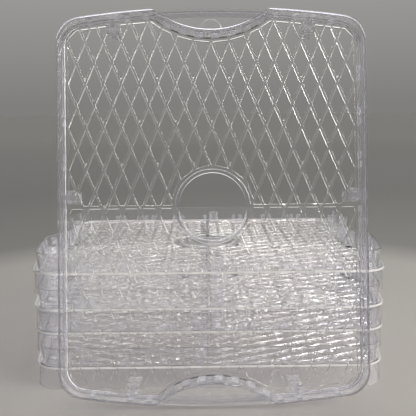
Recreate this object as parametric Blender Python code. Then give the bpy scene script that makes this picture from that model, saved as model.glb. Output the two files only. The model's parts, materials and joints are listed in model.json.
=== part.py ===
"""The clear stacking trays of a food dehydrator: four in a stack, and a fifth that leans upright against it.

Metres, +Z up. The long side of the stack runs along X. The leaning tray stands on its end in front of it, on the
-Y side. Each tray is drawn once in its own frame: x along its length, y across it, z up from its skirt.
A plain outline has straight long sides and bowed ends. The wall follows the notched outline, which has a finger
notch in the middle of each end. Both are offset inwards by an inset, measured from the flange's edge.
"""

import math

import bmesh
import bpy
from mathutils import Matrix, Vector

# Tray plan, at the flange's edge.
LENGTH = 0.326
WIDTH = 0.254
END_RADIUS = 0.753
CORNER_RADIUS = 0.023
NOTCH_RADIUS = 0.071
NOTCH_DEPTH = 0.018
TIP_RADIUS = 0.012

# Tray heights above the skirt's lower edge.
FLANGE_BOTTOM = 0.0186
FLANGE_TOP = 0.0206
WALL_TOP = 0.0362
FLOOR_TOP = 0.0204

# Insets of the frame's faces from the flange's edge.
RIM_INSET = 0.003
WALL_FOOT_INSET = 0.0048
WALL_THICKNESS = 0.0016
SKIRT_BOTTOM_INSET = 0.0005
SKIRT_TOP_INSET = 0.0016
SKIRT_THICKNESS = 0.0012
FLOOR_EDGE_INSET = 0.0066

GAP = 0.0003

# Floor grid: rhombic openings, with a plain bar across the middle and a round hole in the centre.
CELL_LENGTH = 0.0714
CELL_WIDTH = 0.0297
ROW_OFFSET = -0.0054
RIB_WIDTH = 0.0024
BORDER = 0.003
BAR_WIDTH = 0.003
SMALLEST_OPENING = 1.0e-4
HOLE_RADIUS = 0.0275
RING_RADIUS = 0.031
RING_BOTTOM = 0.0176
RING_TOP = 0.0214
RING_SEGMENTS = 20

# Stacking posts: T-shaped pillars inside the wall, which pass through the floor and end level with the skirt.
END_A_POST_Y = 0.080
END_B_POST_Y = 0.066
SIDE_POST_X = 0.008
POST_SETBACK = 0.0012
WEB_LENGTH = 0.0062
WEB_WIDTH = 0.006
BAR_LENGTH = 0.0104
BAR_THICKNESS = 0.002
POST_PAD = 0.0085

# A tray with the same heading stands on the posts below it. Turned half round, its skirt sits on the flange below.
POST_PITCH = 0.0319
NESTED_PITCH = FLANGE_TOP + GAP
POST_TOP = POST_PITCH - GAP

# The leaning tray.
LEAN = math.radians(9.8)
LEAN_SHIFT_X = 0.0034
LEAN_GAP = 0.0005

ARC_STEPS = {"notch": 3, "tip": 2, "end": 1, "corner": 4}
HALF_LENGTH = LENGTH / 2
HALF_WIDTH = WIDTH / 2


def clear_scene():
    for obj in list(bpy.data.objects):
        bpy.data.objects.remove(obj, do_unlink=True)


def clear_plastic(name, colour, roughness):
    """A Principled material for one kind of sub-part: clear moulded plastic, tinted a little by its thickness."""
    material = bpy.data.materials.new(name)
    material.use_nodes = True
    shader = material.node_tree.nodes["Principled BSDF"]
    shader.inputs["Base Color"].default_value = (*colour, 1.0)
    shader.inputs["Metallic"].default_value = 0.0
    shader.inputs["Roughness"].default_value = roughness
    shader.inputs["IOR"].default_value = 1.57
    shader.inputs["Transmission Weight"].default_value = 0.9
    return material


def arc(centre, radius, start, end, steps):
    """Points on an arc after its first one, which the stretch before it already holds."""
    angles = [start + (end - start) * i / steps for i in range(1, steps + 1)]
    return [centre + radius * Vector((math.cos(a), math.sin(a))) for a in angles]


def plan_centres():
    """Centres of the arcs in the quarter of the outline where x and y are positive."""
    end = Vector((HALF_LENGTH - END_RADIUS, 0))
    notch_floor = HALF_LENGTH - RIM_INSET - NOTCH_DEPTH
    notch = Vector((notch_floor + NOTCH_RADIUS + RIM_INSET, 0))
    corner_y = HALF_WIDTH - CORNER_RADIUS
    corner_x = end.x + math.sqrt((END_RADIUS - CORNER_RADIUS) ** 2 - corner_y**2)
    to_end = END_RADIUS - TIP_RADIUS
    to_notch = NOTCH_RADIUS + TIP_RADIUS
    tip_x = (to_end**2 - to_notch**2 + notch.x**2 - end.x**2) / (2 * (notch.x - end.x))
    tip_y = math.sqrt(to_end**2 - (tip_x - end.x) ** 2)
    return end, notch, Vector((tip_x, tip_y)), Vector((corner_x, corner_y))


def quarter_outline(inset, notched):
    """The outline from the middle of the +X end to the long side at +Y."""
    end, notch, tip, corner = plan_centres()
    from_notch = math.atan2((tip - notch).y, (tip - notch).x)
    from_end = math.atan2((tip - end).y, (tip - end).x)
    to_corner = math.atan2((corner - end).y, (corner - end).x)
    radius = END_RADIUS - inset
    points = [Vector((notch.x - NOTCH_RADIUS - inset, 0))]
    points += arc(notch, NOTCH_RADIUS + inset, math.pi, from_notch, ARC_STEPS["notch"])
    points += arc(tip, TIP_RADIUS - inset, from_notch - math.pi, from_end, ARC_STEPS["tip"])
    if not notched:
        points = [Vector((end.x + math.sqrt(radius**2 - p.y**2), p.y)) for p in points]
    points += arc(end, radius, from_end, to_corner, ARC_STEPS["end"])
    points += arc(corner, CORNER_RADIUS - inset, to_corner, math.pi / 2, ARC_STEPS["corner"])
    return points


def outline(inset, notched):
    """The whole outline, anticlockwise, with the same number of points whatever the inset."""
    first = quarter_outline(inset, notched)
    second = [Vector((-p.x, p.y)) for p in reversed(first)]
    upper = first + second
    lower = [Vector((p.x, -p.y)) for p in reversed(upper[1:-1])]
    return upper + lower


def mesh_from(bm, name):
    bmesh.ops.recalc_face_normals(bm, faces=bm.faces)
    mesh = bpy.data.meshes.new(name)
    bm.to_mesh(mesh)
    bm.free()
    return mesh


def frame_mesh():
    """Wall, flange and skirt as one section carried round the tray. A section point is (inset, notched, z)."""
    section = [
        (RIM_INSET, True, WALL_TOP),
        (WALL_FOOT_INSET, True, FLANGE_TOP),
        (0.0, False, FLANGE_TOP),
        (0.0, False, FLANGE_BOTTOM),
        (SKIRT_TOP_INSET, False, FLANGE_BOTTOM),
        (SKIRT_BOTTOM_INSET, False, 0.0),
        (SKIRT_BOTTOM_INSET + SKIRT_THICKNESS, False, 0.0),
        (SKIRT_TOP_INSET + SKIRT_THICKNESS, False, FLANGE_BOTTOM),
        (FLOOR_EDGE_INSET, True, FLANGE_BOTTOM),
        (FLOOR_EDGE_INSET, True, FLANGE_TOP),
        (RIM_INSET + WALL_THICKNESS, True, WALL_TOP),
    ]
    bm = bmesh.new()
    rings = []
    for inset, notched, z in section:
        rings.append([bm.verts.new((p.x, p.y, z)) for p in outline(inset, notched)])
    for ring, following in zip(rings, rings[1:] + rings[:1]):
        count = len(ring)
        for i in range(count):
            j = (i + 1) % count
            bm.faces.new((ring[i], ring[j], following[j], following[i]))
    return mesh_from(bm, "tray_frame")


def keep_side(polygon, normal, limit):
    """The part of a convex polygon where normal . p is at most limit."""
    kept = []
    for here, there in zip(polygon, polygon[1:] + polygon[:1]):
        a = normal.dot(here) - limit
        b = normal.dot(there) - limit
        if a <= 0:
            kept.append(here)
        if a * b < 0:
            kept.append(here.lerp(there, a / (a - b)))
    return kept


def middle(polygon):
    return sum(polygon, Vector((0, 0))) / len(polygon)


def inside_circle(polygon, centre, radius):
    """Cuts a small polygon along the circle's tangent nearest to it, to keep it inside."""
    if len(polygon) < 3:
        return []
    normal = (middle(polygon) - centre).normalized()
    return keep_side(polygon, normal, normal.dot(centre) + radius)


def outside_circle(polygon, centre, radius):
    if len(polygon) < 3:
        return []
    normal = (centre - middle(polygon)).normalized()
    return keep_side(polygon, normal, normal.dot(centre) - radius)


def area(polygon):
    pairs = zip(polygon, polygon[1:] + polygon[:1])
    return abs(sum(p.cross(q) for p, q in pairs)) / 2


def fitted_opening(polygon):
    """One opening of the floor grid, cut back to leave the border, the ring's seat and a pad round each post."""
    end, notch, _, corner = plan_centres()
    inset = FLOOR_EDGE_INSET + GAP + BORDER
    for sign in (1, -1):
        polygon = keep_side(polygon, Vector((0, sign)), HALF_WIDTH - inset)
        polygon = inside_circle(polygon, sign * end, END_RADIUS - inset)
        polygon = outside_circle(polygon, sign * notch, NOTCH_RADIUS + inset)
        for other in (1, -1):
            diagonal = Vector((sign, other)).normalized()
            seat = Vector((sign * corner.x, other * corner.y))
            polygon = keep_side(polygon, diagonal, diagonal.dot(seat) + CORNER_RADIUS - inset)
    polygon = outside_circle(polygon, Vector((0, 0)), RING_RADIUS + GAP + BORDER)
    for _, start, inward in post_places():
        polygon = outside_circle(polygon, start + inward * WEB_LENGTH, POST_PAD)
    return polygon


def floor_openings():
    """The rhombic openings, row by row along the tray. The bar across the middle parts the ones that it crosses."""
    across = CELL_LENGTH * CELL_WIDTH / math.hypot(CELL_LENGTH, CELL_WIDTH)
    shrink = 1 - RIB_WIDTH / across
    half_long = shrink * CELL_LENGTH / 2
    half_short = shrink * CELL_WIDTH / 2
    rows = math.ceil(LENGTH / CELL_LENGTH) + 1
    columns = math.ceil(HALF_WIDTH / CELL_WIDTH) + 1
    openings = []
    for row in range(-rows, rows + 1):
        x = ROW_OFFSET + row * CELL_LENGTH / 2
        shift = 0.5 if row % 2 == 0 else 0.0
        for column in range(-columns, columns + 1):
            y = (column + shift) * CELL_WIDTH
            rhombus = [
                Vector((x + half_long, y)),
                Vector((x, y + half_short)),
                Vector((x - half_long, y)),
                Vector((x, y - half_short)),
            ]
            for side in (1, -1):
                part = keep_side(rhombus, Vector((-side, 0)), -BAR_WIDTH / 2)
                part = fitted_opening(part)
                if len(part) > 2 and area(part) > SMALLEST_OPENING:
                    openings.append(part)
    return openings


def plate_mesh(name, loops, bottom, top):
    """A flat plate between two heights. The first loop is its edge, and the others are holes."""
    bm = bmesh.new()
    edges = []
    for loop in loops:
        verts = [bm.verts.new((p.x, p.y, bottom)) for p in loop]
        edges += [bm.edges.new(pair) for pair in zip(verts, verts[1:] + verts[:1])]
    bmesh.ops.triangle_fill(bm, edges=edges, use_beauty=True)
    lifted = bmesh.ops.extrude_face_region(bm, geom=bm.faces[:])["geom"]
    raised = [item for item in lifted if isinstance(item, bmesh.types.BMVert)]
    bmesh.ops.translate(bm, vec=(0, 0, top - bottom), verts=raised)
    return mesh_from(bm, name)


def circle(radius, segments):
    turn = 2 * math.pi / segments
    return [radius * Vector((math.cos(i * turn), math.sin(i * turn))) for i in range(segments)]


def post_places():
    """Each post's name, where its web starts, just inside the wall's foot, and the way from there into the tray."""
    end, _, _, _ = plan_centres()
    radius = END_RADIUS - FLOOR_EDGE_INSET
    places = []
    for side_name, side in (("left", 1), ("right", -1)):
        for end_name, sign, y in (("end_a", 1, END_A_POST_Y), ("end_b", -1, END_B_POST_Y)):
            x = end.x + math.sqrt(radius**2 - y**2) - POST_SETBACK
            start = Vector((sign * x, side * y))
            places.append((f"{end_name}_{side_name}_post", start, Vector((-sign, 0))))
        start = Vector((SIDE_POST_X, side * (HALF_WIDTH - FLOOR_EDGE_INSET - POST_SETBACK)))
        places.append((f"middle_{side_name}_post", start, Vector((0, -side))))
    return places


def post_plan(start, inward, margin):
    """A T: a web that runs in from the wall, and a bar across its inner end. The margin widens it all round."""
    inner = WEB_LENGTH + BAR_THICKNESS + margin
    shoulder = WEB_LENGTH - margin
    half_web = WEB_WIDTH / 2 + margin
    half_bar = BAR_LENGTH / 2 + margin
    half = [(-margin, half_web), (shoulder, half_web), (shoulder, half_bar), (inner, half_bar)]
    plan = half + [(along, -off) for along, off in reversed(half)]
    sideways = Vector((-inward.y, inward.x))
    return [start + inward * along + sideways * off for along, off in plan]


def floor_mesh():
    edge = outline(FLOOR_EDGE_INSET + GAP, True)
    hole = circle(RING_RADIUS + GAP, RING_SEGMENTS)
    slots = [post_plan(start, inward, GAP) for _, start, inward in post_places()]
    return plate_mesh("tray_floor", [edge, hole, *slots, *floor_openings()], FLANGE_BOTTOM, FLOOR_TOP)


def ring_mesh():
    loops = [circle(RING_RADIUS, RING_SEGMENTS), circle(HOLE_RADIUS, RING_SEGMENTS)]
    return plate_mesh("tray_ring", loops, RING_BOTTOM, RING_TOP)


def tray_parts():
    """Each sub-part's name, mesh and material, made once and shared by the five trays."""
    edge_tint = (0.80, 0.81, 0.90)
    sheet_tint = (0.88, 0.88, 0.92)
    post_plastic = clear_plastic("post_plastic", edge_tint, 0.1)
    parts = [
        ("frame", frame_mesh(), clear_plastic("frame_plastic", edge_tint, 0.06)),
        ("mesh_floor", floor_mesh(), clear_plastic("floor_plastic", sheet_tint, 0.08)),
        ("centre_ring", ring_mesh(), clear_plastic("ring_plastic", edge_tint, 0.06)),
    ]
    for name, start, inward in post_places():
        parts.append((name, plate_mesh(name, [post_plan(start, inward, 0.0)], 0.0, POST_TOP), post_plastic))
    for _, mesh, material in parts:
        mesh.materials.append(material)
    return [(name, mesh) for name, mesh, _ in parts]


def add_tray(prefix, parts, pose, offset):
    """One tray: its sub-parts under an empty at pose, with the tray's own origin at offset from that empty."""
    holder = bpy.data.objects.new(prefix + "_origin", None)
    holder.matrix_world = pose
    bpy.context.scene.collection.objects.link(holder)
    for part, mesh in parts:
        obj = bpy.data.objects.new(f"{prefix}_{part}", mesh)
        obj.parent = holder
        obj.location = offset
        bpy.context.scene.collection.objects.link(obj)


def skirt_end():
    """How far the skirt's lower edge reaches from the tray's centre, along the tray."""
    return HALF_LENGTH - SKIRT_BOTTOM_INSET


def rim_reach():
    """How far in front of its resting edge the leaning tray's rim comes."""
    rim = outline(RIM_INSET, True)
    steps = [math.sin(LEAN) * (p.x + skirt_end()) - math.cos(LEAN) * WALL_TOP for p in rim]
    return -min(steps)


def main():
    clear_scene()
    bases = [0.0, POST_PITCH, POST_PITCH + NESTED_PITCH, 2 * POST_PITCH + NESTED_PITCH]
    turned = [True, True, False, False]
    top_flange = bases[-1] + FLANGE_TOP
    edge_to_stack = top_flange * math.tan(LEAN) + LEAN_GAP / math.cos(LEAN)
    depth = rim_reach() + edge_to_stack + WIDTH
    resting_edge_y = rim_reach() - depth / 2
    stack_y = resting_edge_y + edge_to_stack + HALF_WIDTH

    parts = tray_parts()
    for number, (base, half_turn) in enumerate(zip(bases, turned), start=1):
        heading = Matrix.Rotation(math.pi if half_turn else 0.0, 4, "Z")
        pose = Matrix.Translation((0, stack_y, base)) @ heading
        add_tray(f"tray_{number}", parts, pose, Vector((0, 0, 0)))

    # The leaning tray's x runs up, its z towards the front.
    up = Vector((0, math.sin(LEAN), math.cos(LEAN)))
    front = Vector((0, -math.cos(LEAN), math.sin(LEAN)))
    side = front.cross(up)
    turn = Matrix((up, side, front)).transposed().to_4x4()
    pose = Matrix.Translation((LEAN_SHIFT_X, resting_edge_y, 0)) @ turn
    add_tray("leaning_tray", parts, pose, Vector((skirt_end(), 0, 0)))
    bpy.context.view_layer.update()


main()
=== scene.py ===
"""Looks of the food dehydrator's trays: four in a stack, and one that stands on its end and leans on them.

Row frame: metres, +Z up, the stack's long side along X, the leaning tray on the -Y side. A tray's own
frame has x along its length (end A at +x), y across it, and z up from the skirt's lower edge. Each visual
piece stands for one CAD node, is drawn once in the tray's own frame, and is placed five times.
"""

import json
import math

import bmesh
import bpy
from mathutils import Matrix, Vector


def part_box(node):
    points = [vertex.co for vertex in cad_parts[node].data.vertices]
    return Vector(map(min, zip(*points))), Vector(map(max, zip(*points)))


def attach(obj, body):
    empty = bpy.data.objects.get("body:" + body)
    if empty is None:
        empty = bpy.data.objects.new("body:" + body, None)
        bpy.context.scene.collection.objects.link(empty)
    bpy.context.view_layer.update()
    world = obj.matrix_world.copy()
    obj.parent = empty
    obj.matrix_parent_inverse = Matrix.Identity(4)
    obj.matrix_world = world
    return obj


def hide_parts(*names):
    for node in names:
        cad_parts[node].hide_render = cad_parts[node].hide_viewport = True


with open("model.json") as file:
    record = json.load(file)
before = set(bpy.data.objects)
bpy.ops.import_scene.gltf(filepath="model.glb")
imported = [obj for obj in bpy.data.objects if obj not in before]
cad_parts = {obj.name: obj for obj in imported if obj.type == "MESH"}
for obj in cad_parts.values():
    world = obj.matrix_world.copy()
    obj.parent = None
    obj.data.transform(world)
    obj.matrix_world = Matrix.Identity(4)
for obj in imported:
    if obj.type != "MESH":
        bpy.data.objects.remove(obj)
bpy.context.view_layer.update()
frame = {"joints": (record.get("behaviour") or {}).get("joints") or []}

# Tray plan, at the flange's edge.
LENGTH = 0.326
WIDTH = 0.254
END_RADIUS = 0.753
CORNER_RADIUS = 0.023
NOTCH_RADIUS = 0.071
NOTCH_DEPTH = 0.018
TIP_RADIUS = 0.012
HALF_LENGTH = LENGTH / 2
HALF_WIDTH = WIDTH / 2
ARC_STEPS = {"notch": 24, "tip": 10, "end": 12, "corner": 12}

# Tray heights, and insets from the flange's edge.
FLANGE_BOTTOM = 0.0186
FLANGE_TOP = 0.0206
WALL_TOP = 0.0362
FLOOR_TOP = 0.0204
RIM_INSET = 0.003
WALL_FOOT_INSET = 0.0048
WALL_THICKNESS = 0.0016
SKIRT_BOTTOM_INSET = 0.0005
SKIRT_TOP_INSET = 0.0016
SKIRT_THICKNESS = 0.0012
FLOOR_EDGE_INSET = 0.0066
GAP = 0.0003

# Floor grid, at the real mesh's size.
CELL_LENGTH = 0.0357
CELL_WIDTH = 0.01485
ROW_OFFSET = -0.0054
RIB_WIDTH = 0.0022
RIB_FACET = 0.00045
RIB_SHOULDER = 0.00025
RIB_TILT = math.radians(30)
RIB_SLOPE = CELL_LENGTH / CELL_WIDTH
BORDER = 0.0024
BAR_WIDTH = 0.003
SMALLEST_OPENING = 6.0e-6
SHORTEST_EDGE = 0.0003
HOLE_RADIUS = 0.0275
RING_RADIUS = 0.031
RING_BOTTOM = 0.0176
RING_TOP = 0.0214
RING_ROUNDING = 0.0008

# Studs beside the grid's nodes, and the rectangle that they fill.
PIP_RADIUS = 0.0011
PIP_RISE = 0.0006
PIP_AHEAD = 0.005
PIPS_REACH_X = 0.128
PIPS_REACH_Y = 0.105
PIPS_OFF_RING = 0.006
PIP_COLUMNS = 8

# Stacking posts.
END_A_POST_Y = 0.080
END_B_POST_Y = 0.066
SIDE_POST_X = 0.008
POST_SETBACK = 0.0012
WEB_LENGTH = 0.0062
WEB_WIDTH = 0.006
BAR_LENGTH = 0.0104
BAR_THICKNESS = 0.002
POST_PAD = 0.0009
POST_TOP = 0.0316
POST_RIB_START = 0.0024
POST_RIB_END = 0.0036
POST_NUB_HALF = 0.0012
POST_NUB = 0.0012
POST_THINNING = 0.0008

# The wall's moulded pads. The side ones are in pairs, given as (place past a row of nodes, length).
PAD_LENGTH = 0.0068
PAD_PITCH = 0.0136
PAD_DEPTH = 0.0007
PADS_BELOW_RIM = 0.002
END_PAD_PLACES = (0.0525, 0.068, 0.098)
END_PAD_LENGTH = 0.0045
SIDE_PAD_PAIR = ((0.0025, 0.0046), (0.0107, 0.0052))
SIDE_PAD_HEIGHT = 0.006
SIDE_PADS_REACH = 0.128
SIDE_PADS_OFF_POST = 0.009

# The grip ridges outside each notch, and the half-round line on the shelf.
RIDGE_PITCH = 0.0029
RIDGE_WIDTH = 0.0009
RIDGE_DEPTH = 0.0007
RIDGE_HEIGHT = 0.0075
RIDGE_REACH = 0.0014
SHELF_LINE_RADIUS = 0.0088
SHELF_LINE_HALF_WIDTH = 0.00035
SHELF_LINE_AHEAD = 0.0006
SHELF_LINE_BOTTOM = 0.00005
SHELF_LINE_TOP = 0.00045
SHELF_LINE_STEPS = 20

# Eased edges, of whole pieces and of the small blocks on them.
EDGE_ROUNDING = 0.00035
BLOCK_EASE = 0.0002

# A frame's second and third materials: its flange's edge and its pads, which catch light. Both are milky and
# pale: painted highlights, standing in for the light that the clear plastic catches there.
FLANGE_EDGE_HIGHLIGHT_MATERIAL = 1
PAD_HIGHLIGHT_MATERIAL = 2

# The clear plastic.
PLASTIC_IOR = 1.5
EDGE_TINT = (0.96, 0.958, 0.97)
SHEET_TINT = (0.975, 0.969, 0.96)
FLANGE_EDGE_HIGHLIGHT_TINT = (0.98, 0.97, 0.95)
PAD_HIGHLIGHT_TINT = (0.96, 0.965, 0.99)
SHADOW_TINT = (0.90, 0.90, 0.91)
DEPTH_COLOUR = (0.78, 0.78, 0.92)
RIPPLE_STRENGTH = 0.15
RIPPLE_HEIGHT = 0.00004

# Poses of the trays: whether each one in the stack is turned half round, and how far the fifth leans.
STACK_HEADINGS = {"tray_1": True, "tray_2": True, "tray_3": False, "tray_4": False}
LEAN = math.radians(9.8)

# Camera at the height and angle of the real one.
CAMERA_PLACE = (-0.0041, -0.6315, 0.2469)
CAMERA_PITCH = 0.1613
CAMERA_ROLL = 0.0095
CAMERA_YAW = -0.007
CAMERA_LENS = 55.47
SENSOR_WIDTH = 36.0

# The room's colours, and the way from the object to the middle of the light band behind it. The band fades in
# between two cosines of the angle to that way.
HORIZON = (0.215, 0.213, 0.205)
ABOVE_HORIZON = (0.325, 0.315, 0.305)
LIGHT_BAND = (1.12, 1.09, 1.05)
FRONT_WALL = (0.32, 0.32, 0.315)
CEILING = (0.30, 0.30, 0.31)
BAND_HEADING = (0.4, 0.92, 0.0)
BAND_FADE = (-0.25, 0.5)

# The table, and its colours by distance from its middle, up to the farthest stop of the colour ramp. These
# colours are painted light and shade on a plain pale table: a painted pool of light near the object, painted
# shade beyond it and painted light again far off.
TABLE_RADIUS = 15.0
TABLE_DROP = 0.0004
TABLE_MIDDLE_Y = 0.03
FARTHEST_STOP = 4.0
TABLE_NEAR_PAINTED_LIGHT = (0.325, 0.313, 0.296)
TABLE_BESIDE_PAINTED_SHADE = (0.165, 0.162, 0.155)
TABLE_DARKEST_PAINTED_SHADE = (0.133, 0.132, 0.127)
TABLE_FAR_PAINTED_LIGHT = (0.236, 0.233, 0.223)


# ---------------------------------------------------------------- outlines


def arc(centre, radius, start, end, steps):
    angles = [start + (end - start) * i / steps for i in range(1, steps + 1)]
    return [centre + radius * Vector((math.cos(a), math.sin(a))) for a in angles]


def plan_centres():
    """Centres of the arcs in the quarter of the outline where x and y are positive."""
    end = Vector((HALF_LENGTH - END_RADIUS, 0))
    notch_floor = HALF_LENGTH - RIM_INSET - NOTCH_DEPTH
    notch = Vector((notch_floor + NOTCH_RADIUS + RIM_INSET, 0))
    corner_y = HALF_WIDTH - CORNER_RADIUS
    corner_x = end.x + math.sqrt((END_RADIUS - CORNER_RADIUS) ** 2 - corner_y**2)
    to_end = END_RADIUS - TIP_RADIUS
    to_notch = NOTCH_RADIUS + TIP_RADIUS
    tip_x = (to_end**2 - to_notch**2 + notch.x**2 - end.x**2) / (2 * (notch.x - end.x))
    tip_y = math.sqrt(to_end**2 - (tip_x - end.x) ** 2)
    return end, notch, Vector((tip_x, tip_y)), Vector((corner_x, corner_y))


def quarter_outline(inset, notched):
    end, notch, tip, corner = plan_centres()
    from_notch = math.atan2((tip - notch).y, (tip - notch).x)
    from_end = math.atan2((tip - end).y, (tip - end).x)
    to_corner = math.atan2((corner - end).y, (corner - end).x)
    radius = END_RADIUS - inset
    points = [Vector((notch.x - NOTCH_RADIUS - inset, 0))]
    points += arc(notch, NOTCH_RADIUS + inset, math.pi, from_notch, ARC_STEPS["notch"])
    points += arc(tip, TIP_RADIUS - inset, from_notch - math.pi, from_end, ARC_STEPS["tip"])
    if not notched:
        points = [Vector((end.x + math.sqrt(radius**2 - p.y**2), p.y)) for p in points]
    points += arc(end, radius, from_end, to_corner, ARC_STEPS["end"])
    points += arc(corner, CORNER_RADIUS - inset, to_corner, math.pi / 2, ARC_STEPS["corner"])
    return points


def outline(inset, notched):
    first = quarter_outline(inset, notched)
    second = [Vector((-p.x, p.y)) for p in reversed(first)]
    upper = first + second
    lower = [Vector((p.x, -p.y)) for p in reversed(upper[1:-1])]
    return upper + lower


# ---------------------------------------------------------------- mesh tools


def ring_of(bm, loop, z):
    return [bm.verts.new((p.x, p.y, z)) for p in loop]


def bridge(bm, lower, upper, material=0):
    count = len(lower)
    for i in range(count):
        j = (i + 1) % count
        face = bm.faces.new((lower[i], lower[j], upper[j], upper[i]))
        face.material_index = material


def fill(bm, rings):
    edges = []
    for ring in rings:
        for pair in zip(ring, ring[1:] + ring[:1]):
            edges.append(bm.edges.get(pair) or bm.edges.new(pair))
    bmesh.ops.triangle_fill(bm, edges=edges, use_beauty=True)


def mesh_from(bm, name, smooth_below=40):
    bmesh.ops.recalc_face_normals(bm, faces=bm.faces)
    mesh = bpy.data.meshes.new(name)
    bm.to_mesh(mesh)
    bm.free()
    mesh.shade_smooth()
    mesh.set_sharp_from_angle(angle=math.radians(smooth_below))
    return mesh


def block(bm, centre, along, length, depth, bottom, top, material=0, lean=Vector((0, 0))):
    """A small upright block, length by depth in plan. Its top is moved by lean, and has eased edges."""
    across = Vector((-along.y, along.x))
    rings = []
    for z, cut, share in ((bottom, 0, 0), (top - BLOCK_EASE, 0, 1), (top, BLOCK_EASE, 1)):
        half_length = length / 2 - cut
        half_depth = depth / 2 - min(cut, depth / 3)
        centre_here = centre + lean * share
        loop = []
        for a, b in ((1, 1), (-1, 1), (-1, -1), (1, -1)):
            loop.append(centre_here + along * half_length * a + across * half_depth * b)
        rings.append(ring_of(bm, loop, z))
    for lower, upper in zip(rings, rings[1:]):
        bridge(bm, lower, upper, material)
    bm.faces.new(rings[0]).material_index = material
    bm.faces.new(rings[-1]).material_index = material


# ---------------------------------------------------------------- frame


def swept_section(bm, section):
    """A closed section of (inset, notched, z) points, swept round the tray's outline."""
    rings = [ring_of(bm, outline(inset, notched), z) for inset, notched, z in section]
    insets = [inset for inset, _, _ in section]
    for i, ring in enumerate(rings):
        j = (i + 1) % len(rings)
        # The flange's edge takes the milky material of a painted highlight.
        is_flange_edge = insets[i] == 0.0 and insets[j] == 0.0
        bridge(bm, ring, rings[j], FLANGE_EDGE_HIGHLIGHT_MATERIAL if is_flange_edge else 0)


def wall_pads(bm):
    """Shallow pads on the wall's inner face: high ones at the notches and ends, low ones on the sides."""
    end, notch, _, _ = plan_centres()
    low, high = FLOOR_TOP + GAP, WALL_TOP - PADS_BELOW_RIM
    lean = WALL_FOOT_INSET - RIM_INSET
    reach = FLOOR_EDGE_INSET + PAD_DEPTH / 2 + GAP / 3
    notch_radius = NOTCH_RADIUS + reach
    end_radius = END_RADIUS - reach
    for sign in (1, -1):
        flip = Matrix(((sign, 0), (0, 1)))
        pads = []
        for k in range(-3, 4):
            a = math.pi + (k + 0.25) * PAD_PITCH / notch_radius
            ray = Vector((math.cos(a), math.sin(a)))
            pads.append((ray, notch + notch_radius * ray, PAD_LENGTH, -lean * ray))
        for y in END_PAD_PLACES:
            for side in (1, -1):
                ray = Vector((math.sqrt(end_radius**2 - y**2), side * y)).normalized()
                pads.append((ray, end + end_radius * ray, END_PAD_LENGTH, lean * ray))
        # The pads take the pale, slightly milky material of a painted highlight.
        for ray, place, length, top_shift in pads:
            along = flip @ Vector((-ray.y, ray.x))
            block(bm, flip @ place, along, length, PAD_DEPTH, low, high, PAD_HIGHLIGHT_MATERIAL, flip @ top_shift)
    side_lean = lean * SIDE_PAD_HEIGHT / (high - low)
    top = low + SIDE_PAD_HEIGHT
    along = Vector((1, 0))
    # The side pads also take the material of a painted highlight.
    for row in range(-4, 5):
        for side in (1, -1):
            for shift, length in SIDE_PAD_PAIR:
                x = ROW_OFFSET + row * CELL_LENGTH + shift
                if abs(x - SIDE_POST_X) < SIDE_PADS_OFF_POST or abs(x) > SIDE_PADS_REACH:
                    continue
                place = Vector((x, side * (HALF_WIDTH - reach)))
                top_shift = Vector((0, side * side_lean))
                block(bm, place, along, length, PAD_DEPTH, low, top, PAD_HIGHLIGHT_MATERIAL, top_shift)


def grip_ridges(bm):
    """Fine upright ridges outside the wall in the middle of each notch."""
    _, notch, _, _ = plan_centres()
    radius = NOTCH_RADIUS + WALL_FOOT_INSET - RIDGE_REACH
    low, high = FLANGE_TOP + GAP / 3, FLANGE_TOP + RIDGE_HEIGHT
    for sign in (1, -1):
        for k in range(-5, 6):
            a = math.pi + k * RIDGE_PITCH / radius
            place = notch + radius * Vector((math.cos(a), math.sin(a)))
            along = Vector((-math.sin(a), math.cos(a)))
            place.x *= sign
            along.x *= sign
            block(bm, place, along, RIDGE_WIDTH, RIDGE_DEPTH, low, high)


def shelf_lines(bm):
    """A raised half-round line on the flat flange beyond each notch."""
    _, notch, _, _ = plan_centres()
    steps = SHELF_LINE_STEPS
    for sign in (1, -1):
        centre = Vector((sign * (notch.x - NOTCH_RADIUS + SHELF_LINE_AHEAD), 0))
        inner, outer = [], []
        for i in range(steps + 1):
            a = math.pi * i / steps - math.pi / 2
            ray = Vector((sign * math.cos(a), math.sin(a)))
            inner.append(centre + (SHELF_LINE_RADIUS - SHELF_LINE_HALF_WIDTH) * ray)
            outer.append(centre + (SHELF_LINE_RADIUS + SHELF_LINE_HALF_WIDTH) * ray)
        loop = outer + inner[::-1]
        lower = ring_of(bm, loop, FLANGE_TOP + SHELF_LINE_BOTTOM)
        upper = ring_of(bm, loop, FLANGE_TOP + SHELF_LINE_TOP)
        bridge(bm, lower, upper)
        for ring in (lower, upper):
            for i in range(steps):
                bm.faces.new((ring[i], ring[i + 1], ring[-2 - i], ring[-1 - i]))


def frame_mesh():
    section = [
        (RIM_INSET, True, WALL_TOP),
        (WALL_FOOT_INSET, True, FLANGE_TOP),
        (0.0, False, FLANGE_TOP),
        (0.0, False, FLANGE_BOTTOM),
        (SKIRT_TOP_INSET, False, FLANGE_BOTTOM),
        (SKIRT_BOTTOM_INSET, False, 0.0),
        (SKIRT_BOTTOM_INSET + SKIRT_THICKNESS, False, 0.0),
        (SKIRT_TOP_INSET + SKIRT_THICKNESS, False, FLANGE_BOTTOM),
        (FLOOR_EDGE_INSET, True, FLANGE_BOTTOM),
        (FLOOR_EDGE_INSET, True, FLANGE_TOP),
        (RIM_INSET + WALL_THICKNESS, True, WALL_TOP),
    ]
    bm = bmesh.new()
    swept_section(bm, section)
    wall_pads(bm)
    grip_ridges(bm)
    shelf_lines(bm)
    return mesh_from(bm, "frame_shape", 32)


# ---------------------------------------------------------------- floor


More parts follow.
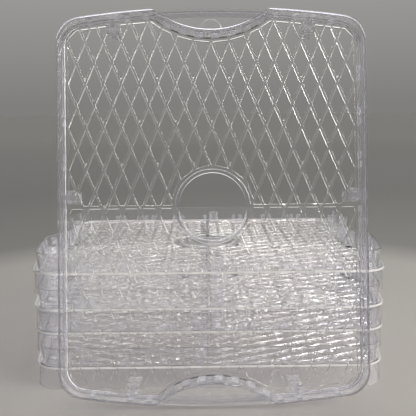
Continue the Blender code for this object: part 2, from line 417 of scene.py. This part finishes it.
def keep_side(polygon, normal, limit):
    """The part of a convex polygon where normal . p is at most limit."""
    kept = []
    for here, there in zip(polygon, polygon[1:] + polygon[:1]):
        a = normal.dot(here) - limit
        b = normal.dot(there) - limit
        if a <= 0:
            kept.append(here)
        if a * b < 0:
            kept.append(here.lerp(there, a / (a - b)))
    return kept


def middle(polygon):
    return sum(polygon, Vector((0, 0))) / len(polygon)


def inside_circle(polygon, centre, radius):
    if len(polygon) < 3:
        return []
    normal = (middle(polygon) - centre).normalized()
    return keep_side(polygon, normal, normal.dot(centre) + radius)


def outside_circle(polygon, centre, radius):
    if len(polygon) < 3:
        return []
    normal = (centre - middle(polygon)).normalized()
    return keep_side(polygon, normal, normal.dot(centre) - radius)


def area(polygon):
    pairs = zip(polygon, polygon[1:] + polygon[:1])
    return abs(sum(p.cross(q) for p, q in pairs)) / 2


def outside_post(polygon, start, inward):
    """Cuts a polygon off along the side of a post's pad that leaves most of it."""
    sideways = Vector((-inward.y, inward.x))
    sides = [
        (inward, WEB_LENGTH + BAR_THICKNESS + POST_PAD),
        (sideways, BAR_LENGTH / 2 + POST_PAD),
        (-sideways, BAR_LENGTH / 2 + POST_PAD),
    ]
    kept = [keep_side(polygon, -normal, -normal.dot(start) - reach) for normal, reach in sides]
    return max(kept, key=lambda part: area(part) if len(part) > 2 else 0.0)


def without_short_edges(polygon):
    kept = []
    for here, there in zip(polygon, polygon[1:] + polygon[:1]):
        if (there - here).length > SHORTEST_EDGE:
            kept.append(here)
    return kept


def fitted_opening(polygon):
    """One opening of the grid, cut back to leave the border, the ring's seat and a pad round each post."""
    end, notch, _, corner = plan_centres()
    inset = FLOOR_EDGE_INSET + GAP + BORDER
    for sign in (1, -1):
        polygon = keep_side(polygon, Vector((0, sign)), HALF_WIDTH - inset)
        polygon = inside_circle(polygon, sign * end, END_RADIUS - inset)
        polygon = outside_circle(polygon, sign * notch, NOTCH_RADIUS + inset)
        for other in (1, -1):
            diagonal = Vector((sign, other)).normalized()
            seat = Vector((sign * corner.x, other * corner.y))
            polygon = keep_side(polygon, diagonal, diagonal.dot(seat) + CORNER_RADIUS - inset)
    polygon = outside_circle(polygon, Vector((0, 0)), RING_RADIUS + GAP + BORDER)
    for _, start, inward in post_places():
        polygon = outside_post(polygon, start, inward)
    return without_short_edges(polygon)


def grid_rows():
    """Each row of the grid: its place along the tray, and the shift of its cells across it."""
    rows = math.ceil(LENGTH / CELL_LENGTH) + 1
    for row in range(-rows, rows + 1):
        yield row, ROW_OFFSET + row * CELL_LENGTH / 2, 0.5 if row % 2 == 0 else 0.0


def floor_openings():
    across = CELL_LENGTH * CELL_WIDTH / math.hypot(CELL_LENGTH, CELL_WIDTH)
    shrink = 1 - RIB_WIDTH / across
    half_long = shrink * CELL_LENGTH / 2
    half_short = shrink * CELL_WIDTH / 2
    columns = math.ceil(HALF_WIDTH / CELL_WIDTH) + 1
    openings = []
    for _, x, shift in grid_rows():
        for column in range(-columns, columns + 1):
            y = (column + shift) * CELL_WIDTH
            rhombus = [
                Vector((x + half_long, y)),
                Vector((x, y + half_short)),
                Vector((x - half_long, y)),
                Vector((x, y - half_short)),
            ]
            for side in (1, -1):
                part = keep_side(rhombus, Vector((-side, 0)), -BAR_WIDTH / 2)
                part = fitted_opening(part)
                if len(part) > 2 and area(part) > SMALLEST_OPENING:
                    openings.append(part)
    return openings


def grown(polygon, amount):
    """A convex anticlockwise polygon with every edge moved outwards."""
    moved = []
    count = len(polygon)
    for i in range(count):
        before, here, after = polygon[i - 1], polygon[i], polygon[(i + 1) % count]
        first = (here - before).normalized()
        second = (after - here).normalized()
        out_first = Vector((first.y, -first.x))
        out_second = Vector((second.y, -second.x))
        bisector = (out_first + out_second).normalized()
        reach = min(amount / max(bisector.dot(out_first), 0.2), 2.2 * amount)
        moved.append(here + bisector * reach)
    return moved


def anticlockwise(polygon):
    turn = sum(p.cross(q) for p, q in zip(polygon, polygon[1:] + polygon[:1]))
    return polygon if turn > 0 else polygon[::-1]


def rib_levels():
    """(growth, z) up the side of a rib: upright, a steep shoulder, and a facet beside its flat top."""
    shoulder = Vector((math.sin(RIB_TILT), math.cos(RIB_TILT))) * RIB_SHOULDER
    facet = Vector((math.cos(RIB_TILT), math.sin(RIB_TILT))) * RIB_FACET
    high = [Vector((0, 0)), shoulder, shoulder + facet]
    return [(0.0, FLANGE_BOTTOM)] + [(p.x, FLOOR_TOP - (high[-1].y - p.y)) for p in high]


def circle(radius, segments):
    turn = 2 * math.pi / segments
    return [radius * Vector((math.cos(i * turn), math.sin(i * turn))) for i in range(segments)]


def add_pip(bm, centre):
    rings = []
    for radius, z in (
        (PIP_RADIUS * 0.6, FLANGE_BOTTOM - PIP_RISE),
        (PIP_RADIUS, FLANGE_BOTTOM - PIP_RISE * 0.4),
        (PIP_RADIUS, FLOOR_TOP + PIP_RISE * 0.4),
        (PIP_RADIUS * 0.6, FLOOR_TOP + PIP_RISE),
    ):
        rings.append(ring_of(bm, [centre + p for p in circle(radius, 10)], z))
    for lower, upper in zip(rings, rings[1:]):
        bridge(bm, lower, upper)
    bm.faces.new(rings[0])
    bm.faces.new(rings[-1])


def pip_places():
    """Studs beside the grid's nodes, on every second row and every second column, in staggered order."""
    places = []
    for row, x, _ in grid_rows():
        if row % 2:
            continue
        for column in range(-PIP_COLUMNS, PIP_COLUMNS + 1):
            if (column + row // 2) % 2:
                continue
            place = Vector((x + PIP_AHEAD, column * CELL_WIDTH))
            in_reach = abs(place.x) < PIPS_REACH_X and abs(place.y) < PIPS_REACH_Y
            if in_reach and place.length > RING_RADIUS + PIPS_OFF_RING:
                places.append(place)
    return places


def floor_mesh():
    bm = bmesh.new()
    edge = outline(FLOOR_EDGE_INSET + GAP, True)
    hole = circle(RING_RADIUS + GAP, 72)
    slots = [anticlockwise(post_plan(start, inward, GAP)) for _, start, inward in post_places()]
    straight = [edge, hole, *slots]
    tops = [ring_of(bm, loop, FLOOR_TOP) for loop in straight]
    bottoms = [ring_of(bm, loop, FLANGE_BOTTOM) for loop in straight]
    for lower, upper in zip(bottoms, tops):
        bridge(bm, lower, upper)
    for opening in floor_openings():
        opening = anticlockwise(opening)
        rings = [ring_of(bm, grown(opening, growth), z) for growth, z in rib_levels()]
        for lower, upper in zip(rings, rings[1:]):
            bridge(bm, lower, upper)
        bottoms.append(rings[0])
        tops.append(rings[-1])
    fill(bm, tops)
    fill(bm, bottoms)
    for place in pip_places():
        add_pip(bm, place)
    return mesh_from(bm, "floor_shape", 25)


# ---------------------------------------------------------------- ring and posts


def ring_mesh(segments=96, steps=4):
    """The ring round the centre hole, turned from a section with rounded corners."""
    rounding = RING_ROUNDING
    corners = [
        (HOLE_RADIUS + rounding, RING_BOTTOM + rounding, math.pi),
        (RING_RADIUS - rounding, RING_BOTTOM + rounding, 1.5 * math.pi),
        (RING_RADIUS - rounding, RING_TOP - rounding, 0.0),
        (HOLE_RADIUS + rounding, RING_TOP - rounding, 0.5 * math.pi),
    ]
    section = []
    for radius, z, start in corners:
        for i in range(steps + 1):
            a = start + 0.5 * math.pi * i / steps
            section.append((radius + rounding * math.cos(a), z + rounding * math.sin(a)))
    bm = bmesh.new()
    rings = [ring_of(bm, circle(radius, segments), z) for radius, z in section]
    for ring, following in zip(rings, rings[1:] + rings[:1]):
        bridge(bm, ring, following)
    return mesh_from(bm, "ring_shape", 50)


def post_places():
    end, _, _, _ = plan_centres()
    radius = END_RADIUS - FLOOR_EDGE_INSET
    places = []
    for side_name, side in (("left", 1), ("right", -1)):
        for end_name, sign, y in (("end_a", 1, END_A_POST_Y), ("end_b", -1, END_B_POST_Y)):
            x = end.x + math.sqrt(radius**2 - y**2) - POST_SETBACK
            start = Vector((sign * x, side * y))
            places.append((f"{end_name}_{side_name}_post", start, Vector((-sign, 0))))
        start = Vector((SIDE_POST_X, side * (HALF_WIDTH - FLOOR_EDGE_INSET - POST_SETBACK)))
        places.append((f"middle_{side_name}_post", start, Vector((0, -side))))
    return places


def placed_plan(half, start, inward):
    plan = half + [(along, -off) for along, off in reversed(half)]
    sideways = Vector((-inward.y, inward.x))
    return [start + inward * along + sideways * off for along, off in plan]


def post_plan(start, inward, margin):
    """A T: a web that runs in from the wall, and a bar across its inner end."""
    inner = WEB_LENGTH + BAR_THICKNESS + margin
    shoulder = WEB_LENGTH - margin
    half_web = WEB_WIDTH / 2 + margin
    half_bar = BAR_LENGTH / 2 + margin
    half = [(-margin, half_web), (shoulder, half_web), (shoulder, half_bar), (inner, half_bar)]
    return placed_plan(half, start, inward)


def post_half(half_web, rib, nub):
    """Half of the post's plan: web, rib across its middle, bar, and nub on the bar's inner face."""
    inner = WEB_LENGTH + BAR_THICKNESS
    half_bar = BAR_LENGTH / 2
    return [
        (0.0, half_web),
        (POST_RIB_START, half_web),
        (POST_RIB_START, rib),
        (POST_RIB_END, rib),
        (POST_RIB_END, half_web),
        (WEB_LENGTH, half_web),
        (WEB_LENGTH, half_bar),
        (inner, half_bar),
        (inner, POST_NUB_HALF),
        (inner + nub, POST_NUB_HALF),
    ]


def post_mesh(name, start, inward):
    """A T that runs through the floor. Above the floor its web is thinner, and has the rib and the nub."""
    half_web = WEB_WIDTH / 2
    hair = 0.0001
    lower = placed_plan(post_half(half_web - hair, half_web, hair), start, inward)
    upper = placed_plan(post_half(half_web - POST_THINNING, BAR_LENGTH / 2, POST_NUB), start, inward)
    step_bottom = FLOOR_TOP + GAP
    step_top = step_bottom + 2 * hair
    bm = bmesh.new()
    rings = [ring_of(bm, lower, 0.0), ring_of(bm, lower, step_bottom)]
    rings += [ring_of(bm, upper, step_top), ring_of(bm, upper, POST_TOP)]
    for below, above in zip(rings, rings[1:]):
        bridge(bm, below, above)
    fill(bm, [rings[0]])
    fill(bm, [rings[-1]])
    return mesh_from(bm, name + "_shape", 30)


# ---------------------------------------------------------------- materials


def clear_plastic(name, colour, roughness, grain, haze, depth_tint):
    """Clear moulded plastic that shadow rays pass through.

    Grain is the fineness of its ripple, haze its share of milky scatter, and depth_tint how fast light
    takes on its colour.
    """
    material = bpy.data.materials.new(name)
    material.use_nodes = True
    nodes, links = material.node_tree.nodes, material.node_tree.links
    shader = nodes["Principled BSDF"]
    output = nodes["Material Output"]
    shader.inputs["Base Color"].default_value = (*colour, 1.0)
    shader.inputs["IOR"].default_value = PLASTIC_IOR
    shader.inputs["Transmission Weight"].default_value = 1.0 - haze

    place = nodes.new("ShaderNodeTexCoord")
    noise = nodes.new("ShaderNodeTexNoise")
    noise.inputs["Scale"].default_value = 60.0
    noise.inputs["Detail"].default_value = 3.0
    spread = nodes.new("ShaderNodeMapRange")
    spread.inputs["To Min"].default_value = roughness * 0.6
    spread.inputs["To Max"].default_value = roughness * 1.5
    links.new(place.outputs["Object"], noise.inputs["Vector"])
    links.new(noise.outputs["Fac"], spread.inputs["Value"])
    links.new(spread.outputs["Result"], shader.inputs["Roughness"])

    ripple = nodes.new("ShaderNodeTexNoise")
    ripple.inputs["Scale"].default_value = grain
    ripple.inputs["Detail"].default_value = 2.0
    bump = nodes.new("ShaderNodeBump")
    bump.inputs["Strength"].default_value = RIPPLE_STRENGTH
    bump.inputs["Distance"].default_value = RIPPLE_HEIGHT
    links.new(place.outputs["Object"], ripple.inputs["Vector"])
    links.new(ripple.outputs["Fac"], bump.inputs["Height"])
    links.new(bump.outputs["Normal"], shader.inputs["Normal"])

    path = nodes.new("ShaderNodeLightPath")
    through = nodes.new("ShaderNodeBsdfTransparent")
    through.inputs["Color"].default_value = (*SHADOW_TINT, 1.0)
    mix = nodes.new("ShaderNodeMixShader")
    links.new(path.outputs["Is Shadow Ray"], mix.inputs["Fac"])
    links.new(shader.outputs["BSDF"], mix.inputs[1])
    links.new(through.outputs["BSDF"], mix.inputs[2])
    links.new(mix.outputs["Shader"], output.inputs["Surface"])

    absorption = nodes.new("ShaderNodeVolumeAbsorption")
    absorption.inputs["Color"].default_value = (*DEPTH_COLOUR, 1.0)
    absorption.inputs["Density"].default_value = depth_tint
    links.new(absorption.outputs["Volume"], output.inputs["Volume"])
    return material


# ---------------------------------------------------------------- trays


def tray_pieces():
    """Each piece's CAD node and visual name without the tray's, its mesh and its slot."""
    frame_plastic = clear_plastic(
        "clear_frame_plastic", EDGE_TINT, roughness=0.015, grain=90.0, haze=0.015, depth_tint=24.0
    )
    floor_plastic = clear_plastic(
        "clear_floor_plastic", SHEET_TINT, roughness=0.006, grain=120.0, haze=0.006, depth_tint=3.0
    )
    ring_plastic = clear_plastic(
        "clear_ring_plastic", EDGE_TINT, roughness=0.015, grain=90.0, haze=0.01, depth_tint=30.0
    )
    post_plastic = clear_plastic(
        "clear_post_plastic", EDGE_TINT, roughness=0.03, grain=140.0, haze=0.05, depth_tint=10.0
    )
    # Painted highlight: the flange's edge is milky white so that it shows as a bright line.
    painted_highlight_flange_edge_plastic = clear_plastic(
        "painted_highlight_flange_edge_plastic", FLANGE_EDGE_HIGHLIGHT_TINT, roughness=0.15, grain=90.0, haze=0.65, depth_tint=30.0
    )
    # Painted highlight: the pads are slightly milky and pale blue so that they show as pale marks.
    painted_highlight_pad_plastic = clear_plastic(
        "painted_highlight_pad_plastic", PAD_HIGHLIGHT_TINT, roughness=0.06, grain=90.0, haze=0.06, depth_tint=24.0
    )

    frame_shape = frame_mesh()
    for material in (frame_plastic, painted_highlight_flange_edge_plastic, painted_highlight_pad_plastic):
        frame_shape.materials.append(material)
    floor_shape = floor_mesh()
    floor_shape.materials.append(floor_plastic)
    ring_shape = ring_mesh()
    ring_shape.materials.append(ring_plastic)
    pieces = [
        ("frame", "clear_frame", frame_shape, "frame_plastic"),
        ("mesh_floor", "clear_grid", floor_shape, "floor_plastic"),
        ("centre_ring", "clear_ring", ring_shape, "ring_plastic"),
    ]
    for name, start, inward in post_places():
        post_shape = post_mesh(name, start, inward)
        post_shape.materials.append(post_plastic)
        pieces.append((name, "clear_" + name, post_shape, "post_plastic"))
    return pieces


def add_tray(tray, pieces, pose):
    for node, name, mesh, slot in pieces:
        obj = bpy.data.objects.new(f"{tray}_{name}", mesh)
        bpy.context.scene.collection.objects.link(obj)
        obj.matrix_world = pose
        if node not in ("mesh_floor", "centre_ring"):
            bevel = obj.modifiers.new("eased_edges", "BEVEL")
            bevel.width = EDGE_ROUNDING
            bevel.segments = 2
            bevel.limit_method = "ANGLE"
            bevel.angle_limit = math.radians(35)
        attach(obj, tray)
        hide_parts(f"{tray}_{node}")


def stack_pose(tray, half_turn):
    low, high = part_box(f"{tray}_frame")
    centre = (low + high) / 2
    heading = Matrix.Rotation(math.pi if half_turn else 0.0, 4, "Z")
    return Matrix.Translation((centre.x, centre.y, low.z)) @ heading


def leaning_pose():
    """Stands on the skirt's edge at end B. Its own x runs up, and its own z towards the front."""
    hinge = next(joint for joint in frame["joints"] if joint["name"] == "leaning_tray_tilt")
    low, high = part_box("leaning_tray_frame")
    foot = Vector(((low.x + high.x) / 2, hinge["pos_m"][1], hinge["pos_m"][2]))
    up = Vector((0, math.sin(LEAN), math.cos(LEAN)))
    front = Vector((0, -math.cos(LEAN), math.sin(LEAN)))
    turn = Matrix((up, front.cross(up), front)).transposed().to_4x4()
    return Matrix.Translation(foot) @ turn @ Matrix.Translation((HALF_LENGTH - SKIRT_BOTTOM_INSET, 0, 0))


pieces = tray_pieces()
for tray, half_turn in STACK_HEADINGS.items():
    add_tray(tray, pieces, stack_pose(tray, half_turn))
add_tray("leaning_tray", pieces, leaning_pose())


# ---------------------------------------------------------------- setting


def disc_mesh(name, radius, segments=96):
    bm = bmesh.new()
    rim = ring_of(bm, circle(radius, segments), 0.0)
    bm.faces.new(rim)
    return mesh_from(bm, name)


def painted_light_table_material():
    """A plain pale table with painted light and shade in its colour: a painted pool of light near the object,
    painted shade beyond it, and painted light again far off.
    """
    material = bpy.data.materials.new("pale_table_painted_light")
    material.use_nodes = True
    nodes, links = material.node_tree.nodes, material.node_tree.links
    shader = nodes["Principled BSDF"]
    shader.inputs["Roughness"].default_value = 0.55
    shader.inputs["Specular IOR Level"].default_value = 0.25
    place = nodes.new("ShaderNodeTexCoord")
    reach = nodes.new("ShaderNodeVectorMath")
    reach.operation = "LENGTH"
    scale = nodes.new("ShaderNodeMapRange")
    scale.inputs["From Max"].default_value = FARTHEST_STOP
    # Painted light and shade: the ramp's stops paint a pool of light near the middle, shade beyond it and
    # light again far off.
    ramp = nodes.new("ShaderNodeValToRGB")
    stops = ramp.color_ramp.elements
    stops[0].position = 0.108
    stops[0].color = (*TABLE_NEAR_PAINTED_LIGHT, 1)
    stops[1].position = 1.0
    stops[1].color = (*TABLE_FAR_PAINTED_LIGHT, 1)
    for position, grey in ((0.138, TABLE_BESIDE_PAINTED_SHADE), (0.3, TABLE_DARKEST_PAINTED_SHADE)):
        stop = stops.new(position)
        stop.color = (*grey, 1)
    links.new(place.outputs["Object"], reach.inputs[0])
    links.new(reach.outputs["Value"], scale.inputs["Value"])
    links.new(scale.outputs["Result"], ramp.inputs["Fac"])
    links.new(ramp.outputs["Color"], shader.inputs["Base Color"])
    return material


# The table, whose colour carries painted light and shade.
table = bpy.data.objects.new("table", disc_mesh("table_shape", TABLE_RADIUS))
table.data.materials.append(painted_light_table_material())
table.location = (0, TABLE_MIDDLE_Y, -TABLE_DROP)
bpy.context.scene.collection.objects.link(table)


def height_ramp(nodes, lowest, between, highest):
    """A colour ramp over the sine of the elevation, with its stops between 0 and 1 as (sine, colour)."""
    ramp = nodes.new("ShaderNodeValToRGB")
    stops = ramp.color_ramp.elements
    stops[0].color = (*lowest, 1)
    stops[1].color = (*highest, 1)
    for position, colour in between:
        stop = stops.new(position)
        stop.color = (*colour, 1)
    return ramp


def room_world():
    """A grey room, darker at the horizon. Behind the object there is a wide light band above eye level."""
    world = bpy.data.worlds.new("grey_room")
    bpy.context.scene.world = world
    world.use_nodes = True
    nodes, links = world.node_tree.nodes, world.node_tree.links
    background = nodes["Background"]
    band_stops = [(0.15, ABOVE_HORIZON), (0.21, ABOVE_HORIZON), (0.31, LIGHT_BAND), (0.5, LIGHT_BAND)]
    back = height_ramp(nodes, HORIZON, band_stops, CEILING)
    front = height_ramp(nodes, HORIZON, [(0.15, ABOVE_HORIZON), (0.6, FRONT_WALL)], CEILING)
    place = nodes.new("ShaderNodeTexCoord")
    split = nodes.new("ShaderNodeSeparateXYZ")
    heading = nodes.new("ShaderNodeVectorMath")
    heading.operation = "DOT_PRODUCT"
    heading.inputs[1].default_value = BAND_HEADING
    turn = nodes.new("ShaderNodeMapRange")
    turn.inputs["From Min"].default_value = BAND_FADE[0]
    turn.inputs["From Max"].default_value = BAND_FADE[1]
    mix = nodes.new("ShaderNodeMix")
    mix.data_type = "RGBA"
    mix_share, mix_front, mix_back, mixed = mix.inputs[0], mix.inputs[6], mix.inputs[7], mix.outputs[2]
    links.new(place.outputs["Generated"], split.inputs["Vector"])
    links.new(split.outputs["Z"], back.inputs["Fac"])
    links.new(split.outputs["Z"], front.inputs["Fac"])
    links.new(place.outputs["Generated"], heading.inputs[0])
    links.new(heading.outputs["Value"], turn.inputs["Value"])
    links.new(turn.outputs["Result"], mix_share)
    links.new(front.outputs["Color"], mix_front)
    links.new(back.outputs["Color"], mix_back)
    links.new(mixed, background.inputs["Color"])
    background.inputs["Strength"].default_value = 1.0


def softbox(name, place, aim, long_axis, size, power, tint):
    """A lamp at place, facing aim. Its first size runs along the long axis, flattened across its beam."""
    light = bpy.data.lights.new(name, "AREA")
    light.shape = "RECTANGLE"
    light.size, light.size_y = size
    light.energy = power
    light.color = tint
    back = (Vector(place) - Vector(aim)).normalized()
    along = Vector(long_axis)
    along = (along - along.dot(back) * back).normalized()
    turn = Matrix((along, back.cross(along), back)).transposed().to_4x4()
    obj = bpy.data.objects.new(name, light)
    obj.matrix_world = Matrix.Translation(place) @ turn
    bpy.context.scene.collection.objects.link(obj)


# The two side lamps lie along the two directions of the leaning tray's ribs.
room_world()
softbox(
    "key_softbox",
    place=(1.35, -0.79, 1.05),
    aim=(0, -0.09, 0.19),
    long_axis=(1, 0, -RIB_SLOPE),
    size=(1.2, 1.1),
    power=36.0,
    tint=(1.0, 0.97, 0.93),
)
softbox(
    "fill_softbox",
    place=(-1.35, -0.79, 1.05),
    aim=(0, -0.09, 0.19),
    long_axis=(1, 0, RIB_SLOPE),
    size=(1.1, 1.0),
    power=5.0,
    tint=(0.97, 0.98, 1.0),
)
softbox(
    "back_softbox",
    place=(0.2, 1.9, 1.5),
    aim=(0, 0, 0.05),
    long_axis=(1, 0, 0),
    size=(1.8, 0.8),
    power=3.5,
    tint=(0.97, 0.98, 1.0),
)


def camera_turn():
    right = Vector((math.cos(CAMERA_YAW), math.sin(CAMERA_YAW), 0))
    level = Vector((-math.sin(CAMERA_YAW), math.cos(CAMERA_YAW), 0))
    forward = math.cos(CAMERA_PITCH) * level - math.sin(CAMERA_PITCH) * Vector((0, 0, 1))
    down = -(math.sin(CAMERA_PITCH) * level + math.cos(CAMERA_PITCH) * Vector((0, 0, 1)))
    image_right = math.cos(CAMERA_ROLL) * right + math.sin(CAMERA_ROLL) * down
    image_down = -math.sin(CAMERA_ROLL) * right + math.cos(CAMERA_ROLL) * down
    return Matrix((image_right, -image_down, -forward)).transposed().to_4x4()


camera_data = bpy.data.cameras.new("camera")
camera_data.lens = CAMERA_LENS
camera_data.sensor_width = SENSOR_WIDTH
camera = bpy.data.objects.new("camera", camera_data)
camera.matrix_world = Matrix.Translation(CAMERA_PLACE) @ camera_turn()
bpy.context.scene.collection.objects.link(camera)
bpy.context.scene.camera = camera

scene = bpy.context.scene
scene.view_settings.view_transform = "Standard"
scene.cycles.max_bounces = 24
scene.cycles.transmission_bounces = 24
scene.cycles.transparent_max_bounces = 40
